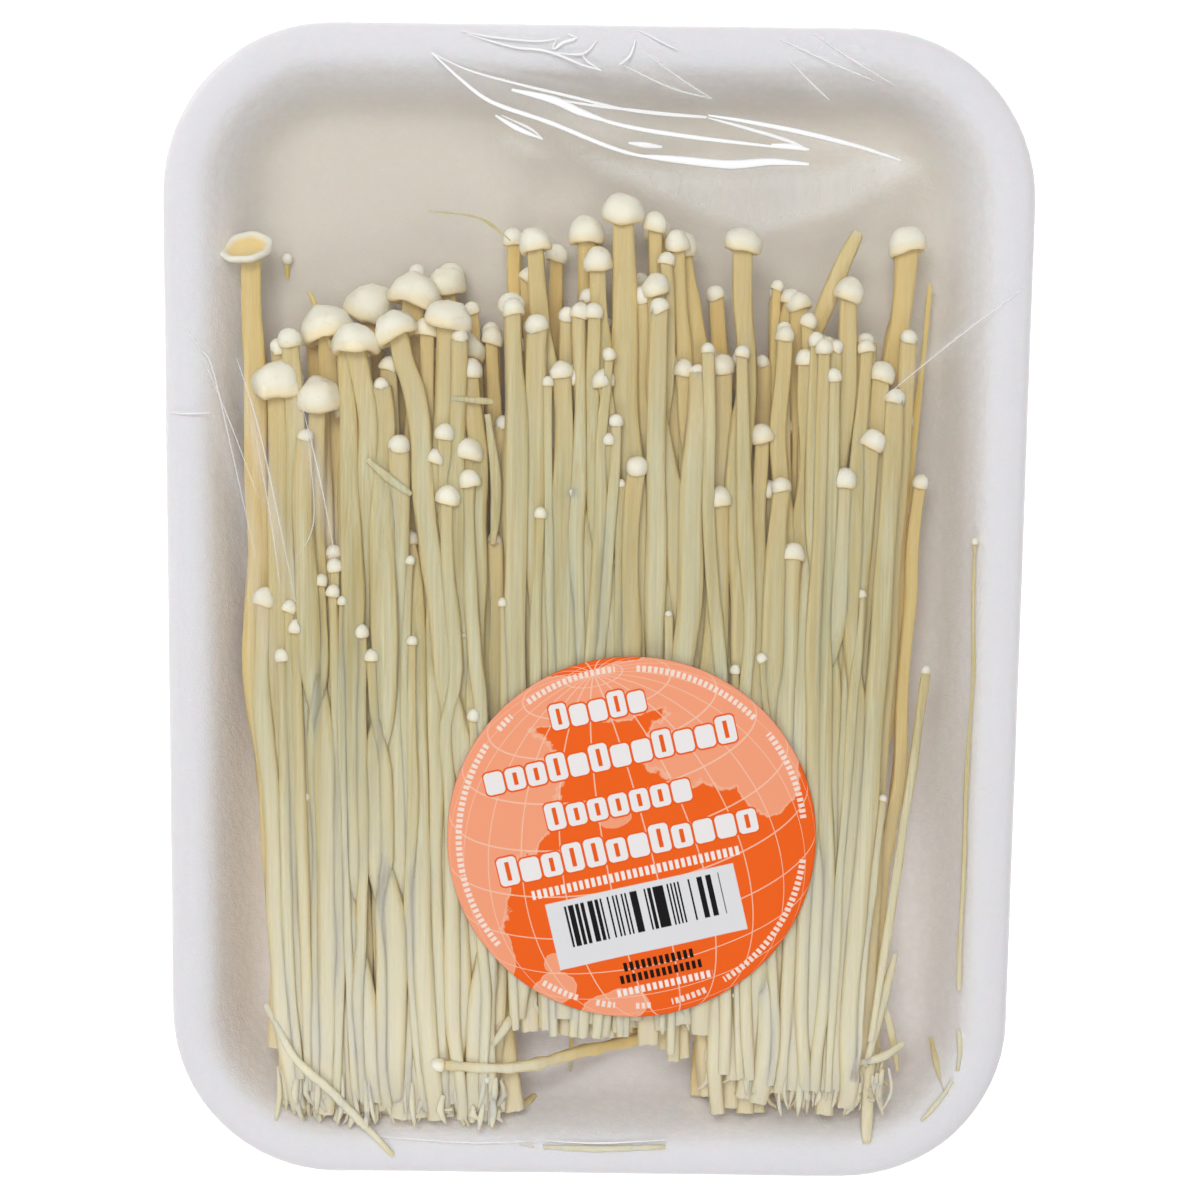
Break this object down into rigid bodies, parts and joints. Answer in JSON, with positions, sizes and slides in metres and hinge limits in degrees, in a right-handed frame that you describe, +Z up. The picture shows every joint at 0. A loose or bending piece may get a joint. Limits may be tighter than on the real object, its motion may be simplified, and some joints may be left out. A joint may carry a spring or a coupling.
{
  "type": "enoki mushroom bunch",
  "caption": "Enoki mushroom bunch: long pale stems with small domed caps, lying side by side on a foam tray under stretched clear film with a round label.",
  "frame": {"origin": "middle of the pack's underside, on the surface it stands on", "axes": "+X across the tray, +Y along the stems towards the caps, +Z up through the film"},
  "size_m": [0.1402, 0.1902, 0.0241],
  "materials": {
    "flesh": "smooth satin mushroom flesh, ivory stems and off-white caps",
    "foam": "white expanded foam with a fine bead texture",
    "film": "clear glossy stretch film",
    "label": "semi-gloss printed paper, orange"
  },
  "bodies": {
    "root": {"clear_film": "film", "foam_tray": "foam", "loose_mushroom_foot": "flesh", "loose_mushroom_right": "flesh", "lower_stems_left": "flesh", "lower_stems_middle": "flesh", "lower_stems_right": "flesh", "mushroom_left_01": "flesh", "mushroom_left_02": "flesh", "mushroom_left_03": "flesh", "mushroom_left_04": "flesh", "mushroom_left_05": "flesh", "mushroom_left_06": "flesh", "mushroom_left_07": "flesh", "mushroom_left_08": "flesh", "mushroom_left_09": "flesh", "mushroom_left_10": "flesh", "mushroom_left_11": "flesh", "mushroom_left_12": "flesh", "mushroom_left_13": "flesh", "mushroom_left_14": "flesh", "mushroom_left_15": "flesh", "mushroom_left_16": "flesh", "mushroom_middle_01": "flesh", "mushroom_middle_02": "flesh", "mushroom_middle_03": "flesh", "mushroom_middle_04": "flesh", "mushroom_middle_05": "flesh", "mushroom_middle_06": "flesh", "mushroom_middle_07": "flesh", "mushroom_middle_08": "flesh", "mushroom_middle_09": "flesh", "mushroom_middle_10": "flesh", "mushroom_middle_11": "flesh", "mushroom_middle_12": "flesh", "mushroom_middle_13": "flesh", "mushroom_middle_14": "flesh", "mushroom_middle_15": "flesh", "mushroom_right_01": "flesh", "mushroom_right_02": "flesh", "mushroom_right_03": "flesh", "mushroom_right_04": "flesh", "mushroom_right_05": "flesh", "mushroom_right_06": "flesh", "mushroom_right_07": "flesh", "mushroom_right_08": "flesh", "mushroom_right_09": "flesh", "mushroom_right_10": "flesh", "mushroom_right_11": "flesh", "mushroom_right_12": "flesh", "mushroom_right_13": "flesh", "round_label": "label"}
  },
  "joints": []
}
